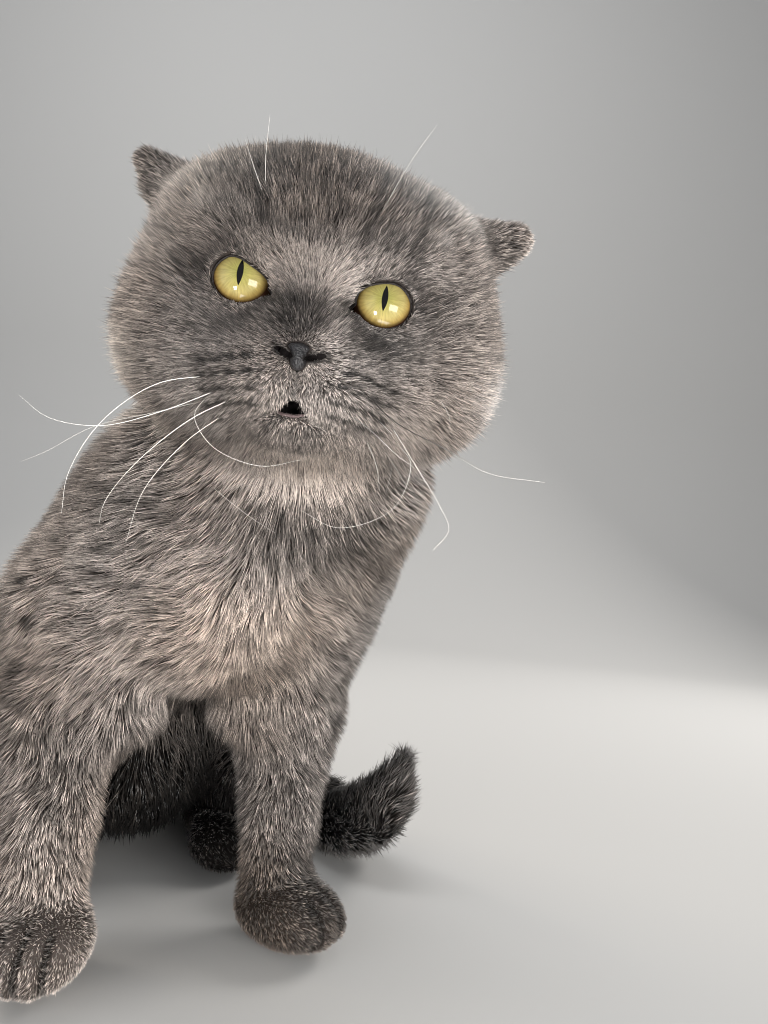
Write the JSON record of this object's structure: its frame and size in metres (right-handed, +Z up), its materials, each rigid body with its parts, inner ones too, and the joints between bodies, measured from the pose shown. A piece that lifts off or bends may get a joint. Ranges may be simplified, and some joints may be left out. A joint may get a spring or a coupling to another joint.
{
  "type": "sitting scottish fold cat",
  "caption": "Life-size still model of a heavy-cheeked grey cat with small folded ears, sitting upright on its haunches, head turned to its right, tail laid round its left side.",
  "frame": {"origin": "middle of the outline's box, on the floor that the cat sits on", "axes": "+Z up, the cat's body faces -Y, its left side is +X"},
  "size_m": [0.2416, 0.3566, 0.321],
  "materials": {
    "coat": "dense plush blue-grey fur with silvery strands and a brown cast",
    "eye": "wet, clear cornea over a yellow-gold iris with a narrow upright pupil",
    "nose_leather": "slate-grey pebbled skin, faintly damp",
    "bare_skin": "dark lid rims, lips and paw pads, softly moist",
    "whisker": "stiff white bristles, some dark at the root"
  },
  "bodies": {
    "root": {"eye_left": "eye", "eye_right": "eye", "nose": "nose_leather", "muzzle": "coat", "jaw": "coat", "ear_left": "coat", "ear_right": "coat", "head": "coat", "neck": "coat", "forepaw_left": "coat", "foreleg_left": "coat", "shoulder_left": "coat", "forepaw_right": "coat", "foreleg_right": "coat", "shoulder_right": "coat", "hind_foot_left": "coat", "thigh_left": "coat", "hind_foot_right": "coat", "thigh_right": "coat", "chest": "coat", "belly": "coat", "hips": "coat", "tail_root": "coat", "tail_middle": "coat", "tail_tip": "coat"}
  },
  "joints": []
}
